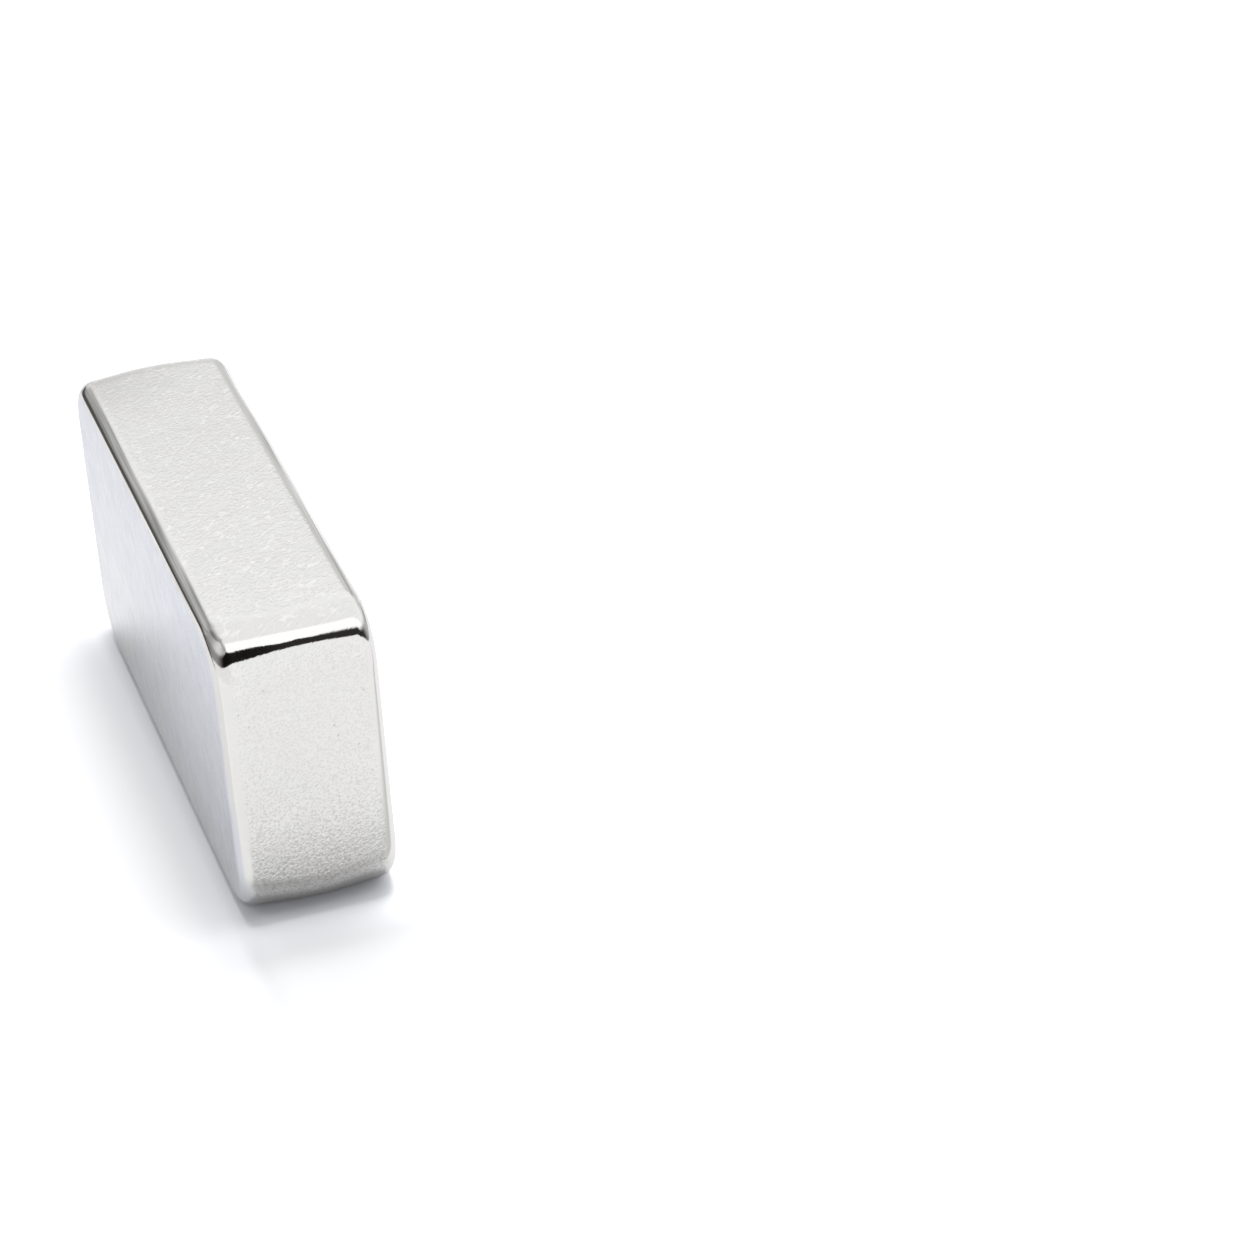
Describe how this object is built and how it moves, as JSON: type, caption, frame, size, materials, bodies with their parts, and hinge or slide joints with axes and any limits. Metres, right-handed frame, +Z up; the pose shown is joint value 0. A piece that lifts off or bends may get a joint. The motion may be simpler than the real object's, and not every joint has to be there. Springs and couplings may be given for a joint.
{
  "type": "block magnet",
  "caption": "Rectangular sintered permanent magnet with nickel plating, flat pole faces and tumbled edges that are softest at the corners, standing on a long narrow side.",
  "frame": {"origin": "middle of the underside, the long narrow side that the block stands on", "axes": "+X through the thickness from pole face to pole face, +Y along the length, +Z up the height of the pole faces"},
  "size_m": [0.0126, 0.05, 0.025],
  "materials": {
    "nickel_plating": "bright nickel plating with a fine orange-peel grain from the tumbled blank under it"
  },
  "bodies": {
    "root": {"magnet_block": "nickel_plating"}
  },
  "joints": []
}
